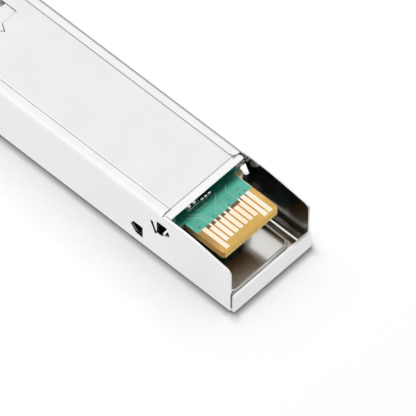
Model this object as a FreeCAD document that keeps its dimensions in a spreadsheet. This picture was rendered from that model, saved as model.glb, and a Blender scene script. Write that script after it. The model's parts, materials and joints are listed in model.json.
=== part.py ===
import FreeCAD, Part
import math
import os
import re
import Sketcher

# Small form-factor pluggable transceiver, lying on its label side with the latch side up.
# Millimetres. X runs across the width, +Y towards the card edge, +Z towards the latch side.
# The origin is at the middle of the length and width, on the surface that the module lies on.

doc = FreeCAD.newDocument("sfp_transceiver")
sheet = doc.addObject("Spreadsheet::Sheet", "Sizes")

driving_sizes = {
    # whole module
    "overall_length": 56.5,
    "body_width": 13.4,
    "body_height": 8.5,
    "front_to_shoulder": 11.5,
    "stop_to_shoulder": 2.5,
    # folded sheet shell
    "sheet_gauge": 0.3,
    "label_bend_radius": 0.6,
    "latch_bend_radius": 0.9,
    "flange_width": 1.48,
    "seam_shift": 0.145,
    "tray_length": 10.05,
    "strip_width": 1.05,
    "wall_setback": 0.45,
    "wall_fall_length": 6.3,
    "wall_step": 0.1,
    "wall_drop": 1.0,
    "wall_corner_radius": 0.8,
    "wall_top_blend": 16.0,
    "flange_corner_radius": 0.8,
    "flange_reach": 0.1,
    "right_flange_setback": 0.25,
    "flange_relief_width": 0.25,
    "flange_relief_depth": 0.45,
    "lip_height": 3.0,
    "lip_bend_radius": 0.5,
    "lip_relief": 0.25,
    "label_recess_depth": 0.25,
    "label_margin": 1.6,
    "label_corner_radius": 1.2,
    "label_to_rear": 1.9,
    "label_to_stop": 4.5,
    "label_edge_bevel": 0.2,
    # lances in the side walls
    "hold_window_depth": 1.75,
    "hold_window_height": 2.15,
    "hold_window_length": 2.1,
    "hold_window_past_opening": 0.15,
    "hold_window_taper": 0.55,
    "hold_slot_pitch": 1.08,
    "hold_slot_width": 0.46,
    "hold_slot_drop": 0.6,
    "hold_tongue_tip": 0.12,
    "hold_tongue_lift": 0.2,
    "hold_tab_back": 1.42,
    "hold_tab_lean": 1.05,
    "hold_tab_reach": 0.8,
    "hold_tab_stagger": 0.28,
    "far_window_drop": 0.5,
    "barb_hole_to_opening": 4.2,
    "barb_hole_low": 1.4,
    "barb_hole_height": 1.95,
    "barb_hole_length": 1.9,
    "barb_hole_round": 0.35,
    "barb_reach": 0.35,
    # casting: nose, latch side plate and bulkhead
    "casting_fit": 0.12,
    "seam_gap": 0.06,
    "plate_thickness": 1.0,
    "strip_thickness": 0.4,
    "strip_undercut": 0.28,
    "strip_edge_land": 0.08,
    "strip_near_gap": 0.04,
    "strip_far_gap": 0.52,
    "strip_corner_round": 0.3,
    "strip_groove_width": 0.12,
    "strip_groove_depth": 0.2,
    "strip_end_gap": 0.25,
    "strip_end_length": 0.55,
    "strip_right_end_length": 0.25,
    "strip_end_step": 0.12,
    "strip_end_margin": 0.22,
    "nose_overhang": 0.15,
    "nose_rise": 0.1,
    "nose_edge_round": 0.5,
    "port_pitch": 6.25,
    "port_width": 4.8,
    "port_height": 4.8,
    "port_depth": 8.2,
    "port_edge_chamfer": 0.25,
    "plug_latch_slot_width": 3.0,
    "plug_latch_slot_depth": 1.0,
    "optical_axis_depth": 3.9,
    "bulkhead_thickness": 1.5,
    "nosepiece_fit": 0.06,
    "cheek_inner_half": 3.2,
    "cheek_inset": 1.35,
    "cheek_rise": 1.6,
    "cheek_round": 0.9,
    "channel_depth": 1.2,
    "channel_past_ports": 0.3,
    "bulkhead_notch_depth": 1.5,
    "window_half_width": 3.15,
    "window_to_shoulder": 1.15,
    "rail_width": 1.28,
    "rail_to_board_front": 1.6,
    "rail_to_opening": 0.6,
    "saddle_thickness": 0.8,
    # circuit board
    "board_depth": 2.1,
    "board_thickness": 1.0,
    "board_to_optics": 2.55,
    "board_side_gap": 0.8,
    "tongue_width": 9.2,
    "board_to_rear": 3.35,
    "tongue_shoulder_to_opening": 1.2,
    "tongue_corner_chamfer": 0.3,
    "ear_half_width": 5.5,
    "ear_past_opening": 0.4,
    "ear_round": 0.45,
    # gold contacts
    "contact_pitch": 0.8,
    "contact_width": 0.6,
    "contact_thickness": 0.04,
    "contact_zone": 4.2,
    "long_contact_setback": 0.3,
    "short_contact_setback": 1.1,
    "contact_neck_length": 0.5,
    "contact_neck_width": 0.25,
    "contact_neck_offset": 0.18,
    # optical subassemblies
    "nosepiece_radius": 1.475,
    "nosepiece_reach": 3.9,
    "ferrule_bore_radius": 0.63,
    "sleeve_outer_radius": 1.0,
    "sleeve_length": 4.5,
    "sleeve_recess": 0.3,
    "flange_radius": 2.1,
    "optic_body_length": 3.85,
    "neck_radius": 1.7,
    "neck_length": 1.2,
    "can_radius": 2.45,
    "can_length": 3.0,
    "header_radius": 2.05,
    "header_length": 0.35,
    "cradle_fit": 0.05,
    # flex circuits
    "flex_gauge": 0.15,
    "flex_width": 3.6,
    "flex_tail": 1.6,
    "flex_bend_radius": 0.6,
    "flex_overlap": 2.0,
    # latch rocker
    "rocker_half_width": 3.09,
    "rocker_waist_half": 2.3,
    "rocker_waist_setback": 0.4,
    "rocker_ear_to_shoulder": 0.65,
    "rocker_gauge": 0.55,
    "rocker_inset": 0.1,
    "rocker_end_gap": 0.08,
    "rocker_pin_radius": 0.4,
    "rocker_pin_reach": 4.6,
    "rocker_pin_to_shoulder": 5.45,
    "rocker_pin_depth": 0.2,
    "rocker_hub_radius": 0.75,
    "running_fit": 0.04,
    "tongue_gauge": 0.65,
    "tongue_rise": 0.6,
    "tongue_tip_to_pivot": 0.45,
    "tongue_reach": 1.2,
    "boss_length": 2.15,
    "boss_half_width": 1.3,
    "boss_height": 0.5,
    "boss_tip_height": 0.05,
    "boss_gap": 0.1,
    "boss_notch_bias": 0.05,
    # leaf spring under the rocker
    "spring_gauge": 0.1,
    "spring_half_width": 1.2,
    "spring_foot": 1.0,
    "spring_reach": 1.5,
    "spring_gap": 0.02,
    # bail
    "bail_wire_radius": 0.45,
    "bail_face_gap": 0.2,
    "bail_arm_inset": 0.65,
    "bail_pivot_to_face": 0.95,
    "bail_pivot_rise": 0.7,
    "bail_bar_height": 0.6,
    "bail_pivot_bend": 0.7,
    "bail_bar_bend": 1.6,
    "bail_end_engagement": 1.5,
    "cam_radius": 0.9,
    "cam_forward_offset": 0.2,
    "cam_inward_offset": 0.093,
    "cam_side_gap": 0.15,
    # parts on the board
    "chip_height": 0.85,
    "controller_side": 5.0,
    "controller_share": 0.4,
    "driver_side": 4.0,
    "amplifier_side": 3.0,
    "front_chips_to_board_front": 3.5,
    "memory_length": 4.4,
    "memory_width": 3.0,
    "memory_to_end": 10.0,
    "capacitor_length": 1.6,
    "capacitor_width": 0.8,
    "capacitor_height": 0.7,
    "capacitor_pitch": 1.9,
    "bead_length": 2.0,
    "bead_width": 1.25,
    "bead_height": 0.9,
    "bead_share": 0.31,
    "resistor_length": 1.0,
    "resistor_width": 0.36,
    "resistor_height": 0.35,
    "resistor_pitch": 0.6,
    "resistor_to_end": 7.9,
    "diode_length": 1.42,
    "diode_width": 0.6,
    "diode_height": 0.35,
    "diode_across": 2.19,
    "diode_setback": 0.22,
}
for row, (alias, size) in enumerate(driving_sizes.items(), start=1):
    cell = f"A{row}"
    sheet.set(cell, str(size))
    sheet.setAlias(cell, alias)
doc.recompute()

# Places that several pieces share, worked out from the driving sizes
rear_y = "(overall_length / 2)"
front_y = "(-overall_length / 2)"
shoulder_y = f"({front_y} + front_to_shoulder)"
stop_y = f"({shoulder_y} - stop_to_shoulder)"
opening_y = f"({rear_y} - tray_length)"
flange_end_y = f"({opening_y} - strip_width)"
flange_stop_y = f"({flange_end_y} + flange_reach)"
right_stop_y = f"({flange_stop_y} - right_flange_setback)"
wall_end_y = f"({rear_y} - wall_setback)"
half_width = "(body_width / 2)"
inner_half = "(body_width / 2 - sheet_gauge)"
right_seam = "(body_width / 2 - flange_width + seam_shift)"
left_seam = "(body_width / 2 - flange_width - seam_shift)"
label_half = "(body_width / 2 - label_margin)"
nose_half = "(body_width / 2 + nose_overhang)"
cheek_half = "(body_width / 2 + nose_overhang - cheek_inset)"
roof_z = "(body_height - sheet_gauge)"
label_front_y = f"({stop_y} + label_to_stop)"
label_rear_y = f"({rear_y} - label_to_rear)"
raised_floor_z = "(sheet_gauge + label_recess_depth)"
casting_half = f"({inner_half} - casting_fit)"
plate_under_z = "(body_height - plate_thickness)"
optic_z = "(body_height - optical_axis_depth)"
nose_z = "(body_height + nose_rise)"
cheek_z = "(body_height + cheek_rise)"
notch_floor_z = "(body_height - bulkhead_notch_depth)"
rocker_pin_z = "(body_height - rocker_pin_depth)"
pivot_z = "(body_height + bail_pivot_rise)"
face_y = f"({front_y} + 2 * bail_wire_radius + bail_face_gap)"
port_back_y = f"({face_y} + port_depth)"
bulkhead_y = f"({port_back_y} + bulkhead_thickness)"
window_rear_y = f"({shoulder_y} + window_to_shoulder)"
boss_tip_y = f"({shoulder_y} + boss_length)"
board_face_z = "(body_height - board_depth)"
board_back_z = "(body_height - board_depth - board_thickness)"
board_end_y = f"({rear_y} - board_to_rear)"
neck_y = f"({bulkhead_y} + optic_body_length)"
can_y = f"({neck_y} + neck_length)"
can_end_y = f"({can_y} + can_length)"
header_y = f"({can_end_y} + header_length)"
board_front_y = f"({header_y} + board_to_optics)"
board_length = f"({board_end_y} - {board_front_y})"
pivot_y = f"({face_y} + bail_pivot_to_face)"
rocker_pin_y = f"({shoulder_y} - rocker_pin_to_shoulder)"
rocker_top_z = "(body_height - rocker_inset)"
rocker_under_z = f"({rocker_top_z} - rocker_gauge)"


def tied(text):
    # each alias in the text becomes a reference to its cell
    names = driving_sizes
    return re.sub(r"[a-z]\w*", lambda word: f"Sizes.{word[0]}" if word[0] in names else word[0], text)


def value(text):
    return float(sheet.evalExpression(tied(text)))


def origin_plane(body, role):
    return next(item for item in body.Origin.OriginFeatures if item.Role == role)


def new_body(label):
    body = doc.addObject("PartDesign::Body", label)
    body.Label = label
    return body


def hold_point(sketch, geometry, point, across, up):
    # ties both coordinates of one sketch point to the sheet
    for kind, text, axis in (("DistanceX", across, -2), ("DistanceY", up, -1)):
        size = value(text)
        if abs(size) < 1e-9:
            sketch.addConstraint(Sketcher.Constraint("PointOnObject", geometry, point, axis))
            continue
        number = sketch.addConstraint(Sketcher.Constraint(kind, -1, 1, geometry, point, size))
        sketch.renameConstraint(number, f"{kind}{number}")
        sketch.setExpression(f"Constraints.{kind}{number}", tied(text))


def hold_radius(sketch, geometry, text):
    number = sketch.addConstraint(Sketcher.Constraint("Radius", geometry, value(text)))
    sketch.renameConstraint(number, f"Radius{number}")
    sketch.setExpression(f"Constraints.Radius{number}", tied(text))


def add_circle(sketch, across, up, radius):
    centre = FreeCAD.Vector(value(across), value(up), 0)
    circle = sketch.addGeometry(Part.Circle(centre, FreeCAD.Vector(0, 0, 1), value(radius)), False)
    hold_point(sketch, circle, 3, across, up)
    hold_radius(sketch, circle, radius)


def corner_arc(before, here, after, radius):
    # the arc that rounds a corner, with the points where it meets the two lines
    back = (before - here).normalize()
    ahead = (after - here).normalize()
    half_angle = back.getAngle(ahead) / 2
    run = radius / math.tan(half_angle)
    centre = here + (back + ahead).normalize() * (radius / math.sin(half_angle))
    first = here + back * run
    last = here + ahead * run
    turns_left = back.cross(ahead).z < 0
    start, finish = (first, last) if turns_left else (last, first)
    angles = [math.atan2(point.y - centre.y, point.x - centre.x) for point in (start, finish)]
    circle = Part.Circle(centre, FreeCAD.Vector(0, 0, 1), radius)
    return first, last, Part.ArcOfCircle(circle, angles[0], angles[1]), turns_left


def add_outline(sketch, corners):
    # a closed outline; a corner is (across, up) or, where it is rounded, (across, up, radius)
    count = len(corners)
    places = [FreeCAD.Vector(value(corner[0]), value(corner[1]), 0) for corner in corners]
    rounds = {}
    for index, corner in enumerate(corners):
        if len(corner) == 3:
            after = places[(index + 1) % count]
            rounds[index] = corner_arc(places[index - 1], places[index], after, value(corner[2]))
    lines = []
    for index in range(count):
        following = (index + 1) % count
        start = rounds[index][1] if index in rounds else places[index]
        finish = rounds[following][0] if following in rounds else places[following]
        lines.append(sketch.addGeometry(Part.LineSegment(start, finish), False))
    for index, corner in enumerate(corners):
        line_in = lines[index - 1]
        line_out = lines[index]
        if index not in rounds:
            sketch.addConstraint(Sketcher.Constraint("Coincident", line_in, 2, line_out, 1))
            hold_point(sketch, line_out, 1, corner[0], corner[1])
            continue
        arc_shape, turns_left = rounds[index][2:]
        arc = sketch.addGeometry(arc_shape, False)
        near, far = (1, 2) if turns_left else (2, 1)
        sketch.addConstraint(Sketcher.Constraint("Tangent", line_in, 2, arc, near))
        sketch.addConstraint(Sketcher.Constraint("Tangent", arc, far, line_out, 1))
        hold_radius(sketch, arc, corner[2])
        point = sketch.addGeometry(Part.Point(places[index]), True)
        hold_point(sketch, point, 1, corner[0], corner[1])
        sketch.addConstraint(Sketcher.Constraint("PointOnObject", point, 1, line_in))
        sketch.addConstraint(Sketcher.Constraint("PointOnObject", point, 1, line_out))


def prism(body, name, role, low, high, outlines=(), circles=(), cut=False):
    # outlines on a plane, carried from low to high along the axis across that plane
    level = f"-({high})" if role == "XZ_Plane" else low
    sketch = body.newObject("Sketcher::SketchObject", f"{name}_sketch")
    sketch.AttachmentSupport = [(origin_plane(body, role), "")]
    sketch.MapMode = "FlatFace"
    sketch.setExpression("AttachmentOffset.Base.z", tied(level))
    for corners in outlines:
        add_outline(sketch, corners)
    for circle in circles:
        add_circle(sketch, *circle)
    feature = body.newObject("PartDesign::Pocket" if cut else "PartDesign::Pad", name)
    feature.Profile = sketch
    feature.setExpression("Length", tied(f"({high}) - ({low})"))
    feature.Reversed = cut
    return feature


def turned(label, corners):
    # a piece turned about its own Y axis; corners are (radius, place along the axis)
    body = new_body(label)
    sketch = body.newObject("Sketcher::SketchObject", f"{label}_sketch")
    sketch.AttachmentSupport = [(origin_plane(body, "XY_Plane"), "")]
    sketch.MapMode = "FlatFace"
    add_outline(sketch, corners)
    feature = body.newObject("PartDesign::Revolution", f"{label}_turning")
    feature.Profile = sketch
    feature.ReferenceAxis = (sketch, ["V_Axis"])
    feature.Angle = 360
    return body


def soften(body, name, size, chosen, kind="Fillet"):
    # rounds or bevels the edges of the body's last feature that the test picks
    doc.recompute()
    base = body.Tip
    edges = [f"Edge{number}" for number, edge in enumerate(base.Shape.Edges, 1) if chosen(edge)]
    feature = body.newObject(f"PartDesign::{kind}", name)
    feature.Base = (base, edges)
    feature.setExpression("Radius" if kind == "Fillet" else "Size", tied(size))
    return feature


def near(a, b):
    return abs(a - b) < 1e-4


def runs_along(edge, axis):
    # true for a straight edge parallel to the axis
    size = edge.BoundBox
    lengths = {"X": size.XLength, "Y": size.YLength, "Z": size.ZLength}
    return all(lengths[other] < 1e-4 for other in lengths if other != axis)


def rectangle(left, right, low, high, radius=None):
    corners = [(left, low), (right, low), (right, high), (left, high)]
    return [corner + (radius,) for corner in corners] if radius else corners


def block(name, centre_x, length_x, low_y, length_y, low_z, length_z):
    box = doc.addObject("Part::Box", name)
    box.setExpression("Length", tied(length_x))
    box.setExpression("Width", tied(length_y))
    box.setExpression("Height", tied(length_z))
    box.setExpression("Placement.Base.x", tied(f"{centre_x} - {length_x} / 2"))
    box.setExpression("Placement.Base.y", tied(low_y))
    box.setExpression("Placement.Base.z", tied(low_z))
    box.Label = name
    return box


def group(label, members):
    bundle = doc.addObject("Part::Compound", label)
    bundle.Links = members
    bundle.Label = label
    return bundle


def outer_shell():
    # bright sheet folded round the label side and walls, with flanges over the latch side and an end lip
    body = new_body("outer_shell")
    label_inner_radius = "(label_bend_radius - sheet_gauge)"
    latch_inner_radius = "(latch_bend_radius - sheet_gauge)"
    closed_section = [
        (right_seam, "body_height"),
        (half_width, "body_height", "latch_bend_radius"),
        (half_width, "0", "label_bend_radius"),
        (f"-{half_width}", "0", "label_bend_radius"),
        (f"-{half_width}", "body_height", "latch_bend_radius"),
        (f"-{left_seam}", "body_height"),
        (f"-{left_seam}", roof_z),
        (f"-{inner_half}", roof_z, latch_inner_radius),
        (f"-{inner_half}", "sheet_gauge", label_inner_radius),
        (inner_half, "sheet_gauge", label_inner_radius),
        (inner_half, roof_z, latch_inner_radius),
        (right_seam, roof_z),
    ]
    prism(body, "shell_sleeve", "XZ_Plane", stop_y, flange_stop_y, [closed_section])
    tray_section = [
        (half_width, "body_height"),
        (half_width, "0", "label_bend_radius"),
        (f"-{half_width}", "0", "label_bend_radius"),
        (f"-{half_width}", "body_height"),
        (f"-{inner_half}", "body_height"),
        (f"-{inner_half}", "sheet_gauge", label_inner_radius),
        (inner_half, "sheet_gauge", label_inner_radius),
        (inner_half, "body_height"),
    ]
    prism(body, "shell_tray", "XZ_Plane", flange_stop_y, wall_end_y, [tray_section])
    # wall tops start at a bend relief, stay level, then fall gently to rounded rear corners
    fall_y = f"({wall_end_y} - wall_fall_length)"
    corner_z = "(body_height - wall_drop)"
    past_y = f"({rear_y} + wall_setback)"
    past_z = "(body_height + wall_drop)"
    level_z = "(body_height - wall_step)"
    relief_z = "(body_height - flange_relief_depth)"
    relief_y = f"({flange_stop_y} + flange_relief_width)"
    trims = [("left", flange_stop_y, relief_y, f"-{half_width}", "0"),
             ("right", right_stop_y, flange_end_y, "0", half_width)]
    for side, start_y, level_y, low_x, high_x in trims:
        wall_trim = [
            (start_y, relief_z),
            (level_y, relief_z),
            (level_y, level_z),
            (fall_y, level_z),
            (wall_end_y, corner_z),
            (past_y, corner_z),
            (past_y, past_z),
            (start_y, past_z),
        ]
        prism(body, f"{side}_wall_trim", "YZ_Plane", low_x, high_x, [wall_trim], cut=True)
    # the right flange stops short of the strip, the left one reaches past its front edge
    right_tip = rectangle("0", inner_half, right_stop_y, flange_stop_y)
    bend_start_z = "(body_height - latch_bend_radius)"
    prism(body, "right_flange_end", "XY_Plane", bend_start_z, past_z, [right_tip], cut=True)
    soften(body, "wall_corners", "wall_corner_radius", lambda edge: runs_along(edge, "X")
           and near(edge.CenterOfMass.y, value(wall_end_y)) and near(edge.CenterOfMass.z, value(corner_z)))
    soften(body, "wall_top_blends", "wall_top_blend", lambda edge: runs_along(edge, "X")
           and near(edge.CenterOfMass.y, value(fall_y)) and near(edge.CenterOfMass.z, value(level_z)))
    soften(body, "flange_corner", "flange_corner_radius", lambda edge: runs_along(edge, "Z")
           and near(edge.CenterOfMass.y, value(flange_stop_y))
           and near(edge.CenterOfMass.x, -value(left_seam)))
    # end lip, bent up from the flat of the floor and wider above its bend reliefs
    bend_half = f"({half_width} - label_bend_radius)"
    lip_section = [
        (wall_end_y, "0"),
        (rear_y, "0", "lip_bend_radius"),
        (rear_y, "lip_height"),
        (f"({rear_y} - sheet_gauge)", "lip_height"),
        (f"({rear_y} - sheet_gauge)", "sheet_gauge", "(lip_bend_radius - sheet_gauge)"),
        (wall_end_y, "sheet_gauge"),
    ]
    prism(body, "end_lip", "YZ_Plane", f"-{bend_half}", bend_half, [lip_section])
    lip_half = f"({half_width} - lip_relief)"
    lip_face = rectangle(f"-{lip_half}", lip_half, "lip_bend_radius", "lip_height")
    prism(body, "lip_face", "XZ_Plane", f"({rear_y} - sheet_gauge)", rear_y, [lip_face])
    # label recess, pressed in from outside so that the floor stands raised inside
    raised = rectangle(f"-{label_half}", label_half, label_front_y, label_rear_y, "label_corner_radius")
    prism(body, "raised_floor", "XY_Plane", "sheet_gauge", raised_floor_z, [raised])
    recess_half = f"({label_half} - sheet_gauge)"
    recess = rectangle(f"-{recess_half}", recess_half, f"({label_front_y} + sheet_gauge)",
                       f"({label_rear_y} - sheet_gauge)", "(label_corner_radius - sheet_gauge)")
    prism(body, "label_recess", "XY_Plane", "0", "label_recess_depth", [recess], cut=True)
    soften(body, "raised_floor_edge", "label_edge_bevel", lambda edge: near(edge.BoundBox.ZLength, 0)
           and near(edge.BoundBox.ZMin, value(raised_floor_z)), kind="Chamfer")
    # hold windows that a pointed spring tongue parts from a slot, and barb holes further forward
    window_rear = f"({opening_y} + hold_window_past_opening)"
    window_front = f"({window_rear} - hold_window_length)"
    window_top = "(body_height - hold_window_depth)"
    window_low = f"({window_top} - hold_window_height)"
    slot_top = f"({window_top} - hold_slot_drop)"
    tongue_z = f"({window_low} + hold_tongue_lift)"
    hold_window = [
        (f"({window_front} - hold_slot_pitch)", slot_top),
        (f"({window_front} - hold_slot_pitch + hold_slot_width)", slot_top),
        (f"({window_front} - hold_tongue_tip)", tongue_z),
        (window_front, tongue_z),
        (window_front, window_top),
        (f"({window_rear} - hold_window_taper)", window_top),
        (window_rear, f"({window_low} + 1.75 * hold_window_taper)"),
        (f"({window_rear} - 1.75 * hold_window_taper)", f"({window_low} + hold_window_taper / 2)"),
        (f"({window_rear} - 2.6 * hold_window_taper)", window_low),
        (window_front, window_low),
        (f"({window_front} - hold_slot_width / 2)", f"({window_low} - hold_slot_drop)"),
    ]
    barb_rear = f"({opening_y} - barb_hole_to_opening)"
    barb_front = f"({barb_rear} - barb_hole_length)"
    barb_top = "(barb_hole_low + barb_hole_height)"
    barb_hole = [
        (barb_rear, "barb_hole_low"),
        (barb_rear, barb_top),
        (f"({barb_front} + barb_hole_length / 5)", barb_top, "barb_hole_round"),
        (barb_front, f"({barb_top} - 0.45 * barb_hole_height)"),
        (f"({barb_front} + 0.4 * barb_hole_length)", "(barb_hole_low + barb_hole_height / 14)"),
    ]
    prism(body, "wall_lances", "YZ_Plane", f"-{half_width}", half_width, [hold_window, barb_hole], cut=True)
    # the left window runs lower, under its tab
    foot_top = f"({window_low} + 1.75 * hold_window_taper)"
    window_foot = [
        (window_front, f"({window_low} + hold_window_taper)"),
        (window_front, window_low),
        (f"({window_rear} - 2 * hold_window_taper)", f"({window_low} - far_window_drop)"),
        (f"({window_rear} - hold_window_taper / 2)", f"({window_low} - hold_window_taper / 5)"),
        (f"({window_rear} + hold_window_taper / 4)", f"({foot_top} - hold_window_taper / 2)"),
        (window_rear, foot_top),
        (f"({window_rear} - hold_window_taper)", window_top),
    ]
    prism(body, "left_window_foot", "YZ_Plane", f"-{half_width}", f"-{inner_half}", [window_foot], cut=True)
    # tabs that lean across the windows and turn in towards the board's ears, and barbs beside their holes
    wall_middle = f"({half_width} - sheet_gauge / 2)"
    tab_y = f"({window_rear} - hold_tab_back)"
    tab_low = f"({window_low} + hold_window_taper / 5)"
    tab_top = f"({window_top} + hold_window_taper / 5)"
    tab_tip = f"({inner_half} - hold_tab_reach)"
    for side, sign, stagger in (("right", "", "0"), ("left", "-", "hold_tab_stagger")):
        root_y = f"({tab_y} - {stagger})"
        tab = [
            (root_y, tab_low),
            (f"({root_y} + sheet_gauge)", tab_low),
            (f"({root_y} + sheet_gauge + hold_tab_lean)", tab_top),
            (f"({root_y} + hold_tab_lean)", tab_top),
        ]
        tab_ends = [f"{sign}{tab_tip}", f"{sign}{wall_middle}"]
        low_end, high_end = sorted(tab_ends, key=value)
        prism(body, f"{side}_hold_tab", "YZ_Plane", low_end, high_end, [tab])
        barb = [
            (f"{sign}{wall_middle}", barb_rear),
            (f"{sign}{wall_middle}", f"({barb_rear} + sheet_gauge)"),
            (f"{sign}({inner_half} - barb_reach)", f"({barb_rear} - barb_reach)"),
            (f"{sign}({inner_half} - barb_reach)", f"({barb_rear} - barb_reach - sheet_gauge)"),
        ]
        prism(body, f"{side}_barb", "XY_Plane", "(barb_hole_low + 0.5 * barb_hole_height)",
              f"({barb_top} - 0.15 * barb_hole_height)", [barb])
    return body


def base_casting():
    # nickel-plated die casting: nose with two plug ports, bulkhead and the latch side plate
    body = new_body("base_casting")
    right_panel = f"({right_seam} - seam_gap)"
    left_panel = f"({left_seam} - seam_gap)"
    ledge_z = f"({roof_z} - seam_gap)"
    ledge_bevel = "(latch_bend_radius - sheet_gauge)"
    plate_section = [
        (f"-{casting_half}", plate_under_z),
        (casting_half, plate_under_z),
        (casting_half, f"({ledge_z} - {ledge_bevel})"),
        (f"({casting_half} - {ledge_bevel})", ledge_z),
        (right_panel, ledge_z),
        (right_panel, "body_height"),
        (f"-{left_panel}", "body_height"),
        (f"-{left_panel}", ledge_z),
        (f"-({casting_half} - {ledge_bevel})", ledge_z),
        (f"-{casting_half}", f"({ledge_z} - {ledge_bevel})"),
    ]
    prism(body, "plate", "XZ_Plane", stop_y, flange_end_y, [plate_section])
    # rear strip: a flat bar with an undercut edge over the opening, nearer to the right wall than the left
    strip_under_z = "(body_height - strip_thickness)"
    strip_right = f"({inner_half} - strip_near_gap)"
    strip_left = f"({inner_half} - strip_far_gap)"
    strip_section = [
        (flange_end_y, strip_under_z),
        (f"({opening_y} - strip_undercut)", strip_under_z),
        (opening_y, "(body_height - strip_edge_land)"),
        (opening_y, "body_height"),
        (flange_end_y, "body_height"),
    ]
    prism(body, "rear_strip", "YZ_Plane", f"-{strip_left}", strip_right, [strip_section])
    soften(body, "strip_corner", "strip_corner_round", lambda edge: runs_along(edge, "Z")
           and near(edge.CenterOfMass.y, value(opening_y)) and near(edge.CenterOfMass.x, -value(strip_left)))
    groove_half = f"({half_width} + strip_groove_width)"
    groove_y = f"({flange_end_y} - strip_groove_width)"
    groove = rectangle(f"-{groove_half}", groove_half, groove_y, flange_end_y)
    prism(body, "strip_groove", "XY_Plane", "(body_height - strip_groove_depth)",
          "(body_height + strip_groove_depth)", [groove], cut=True)
    # strip ends set down behind the flanges, with a gap that clears the tip of the left one
    right_inner = f"({right_seam} - strip_end_margin)"
    left_inner = f"-({left_seam} - strip_end_margin)"
    end_steps = [
        rectangle(right_inner, groove_half, flange_end_y, f"({flange_end_y} + strip_right_end_length)"),
        rectangle(left_inner, f"-{groove_half}", flange_end_y, f"({flange_end_y} + strip_end_length)"),
    ]
    prism(body, "strip_end_steps", "XY_Plane", "(body_height - strip_end_step)",
          "(body_height + strip_groove_depth)", end_steps, cut=True)
    end_gap = rectangle(left_inner, f"-{groove_half}", flange_end_y, f"({flange_end_y} + strip_end_gap)")
    prism(body, "strip_end_gap", "XY_Plane", strip_under_z, "(body_height + strip_groove_depth)", [end_gap],
          cut=True)
    # nose outside the cage, and the block behind its stop that fills the shell's mouth
    nose = rectangle(f"-{nose_half}", nose_half, "0", nose_z, "nose_edge_round")
    prism(body, "nose", "XZ_Plane", face_y, stop_y, [nose])
    cheeks = [rectangle(f"{sign}{cheek_half}", f"{sign}cheek_inner_half", plate_under_z, cheek_z)
              for sign in ("", "-")]
    prism(body, "cheeks", "XZ_Plane", face_y, stop_y, cheeks)
    soften(body, "cheek_tops", "cheek_round", lambda edge: runs_along(edge, "X")
           and near(edge.CenterOfMass.z, value(cheek_z)))
    throat = rectangle(f"-{casting_half}", casting_half, "(sheet_gauge + casting_fit)", plate_under_z)
    prism(body, "throat", "XZ_Plane", stop_y, bulkhead_y, [throat])
    # two ports for plugs, each with the slot for its latch on the label side
    ports = []
    slots = []
    holes = []
    for sign in ("", "-"):
        middle = f"({sign}port_pitch / 2)"
        ports.append(rectangle(f"({middle} - port_width / 2)", f"({middle} + port_width / 2)",
                               f"({optic_z} - port_height / 2)",
                               f"({optic_z} + port_height / 2)"))
        slots.append(rectangle(f"({middle} - plug_latch_slot_width / 2)",
                               f"({middle} + plug_latch_slot_width / 2)",
                               f"({optic_z} - port_height / 2 - plug_latch_slot_depth)",
                               optic_z))
        holes.append((middle, optic_z, "(nosepiece_radius + nosepiece_fit)"))
    prism(body, "ports", "XZ_Plane", face_y, port_back_y, ports, cut=True)
    prism(body, "plug_latch_slots", "XZ_Plane", face_y, port_back_y, slots, cut=True)
    soften(body, "port_mouths", "port_edge_chamfer", lambda edge: near(edge.BoundBox.YMin, value(face_y))
           and near(edge.BoundBox.YMax, value(face_y))
           and edge.BoundBox.ZMax < value(f"{optic_z} + port_height / 2") + 1e-3
           and abs(edge.CenterOfMass.x) < value("port_pitch / 2 + port_width / 2") + 1e-3
           and edge.BoundBox.ZMin > value("nose_edge_round"), kind="Chamfer")
    prism(body, "nosepiece_holes", "XZ_Plane", port_back_y, bulkhead_y, circles=holes, cut=True)
    # channel for the latch rocker, open to the window in the plate with its notch for the boss tip
    above = f"({cheek_z} + sheet_gauge)"
    channel_end_y = f"({port_back_y} + channel_past_ports)"
    channel = rectangle("-cheek_inner_half", "cheek_inner_half", face_y, channel_end_y)
    prism(body, "rocker_channel", "XY_Plane", "(body_height - channel_depth)", above, [channel], cut=True)
    notch_half = f"(boss_half_width * ({boss_tip_y} - {window_rear_y}) / boss_length + boss_gap)"
    window = [
        ("-window_half_width", channel_end_y),
        ("window_half_width", channel_end_y),
        ("window_half_width", window_rear_y),
        (f"({notch_half} - boss_notch_bias)", window_rear_y),
        ("-boss_notch_bias", f"({boss_tip_y} + 1.6 * boss_gap)"),
        (f"-({notch_half} + boss_notch_bias)", window_rear_y),
        ("-window_half_width", window_rear_y),
    ]
    prism(body, "latch_window", "XY_Plane", notch_floor_z, above, [window], cut=True)
    # bearings: blind holes for the rocker pin, through holes for the bail's ends
    prism(body, "rocker_pin_hole", "YZ_Plane", "-rocker_pin_reach", "rocker_pin_reach",
          circles=[(rocker_pin_y, rocker_pin_z, "rocker_pin_radius")], cut=True)
    prism(body, "bail_holes", "YZ_Plane", f"-{cheek_half}", cheek_half,
          circles=[(pivot_y, pivot_z, "(bail_wire_radius + running_fit)")], cut=True)
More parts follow.
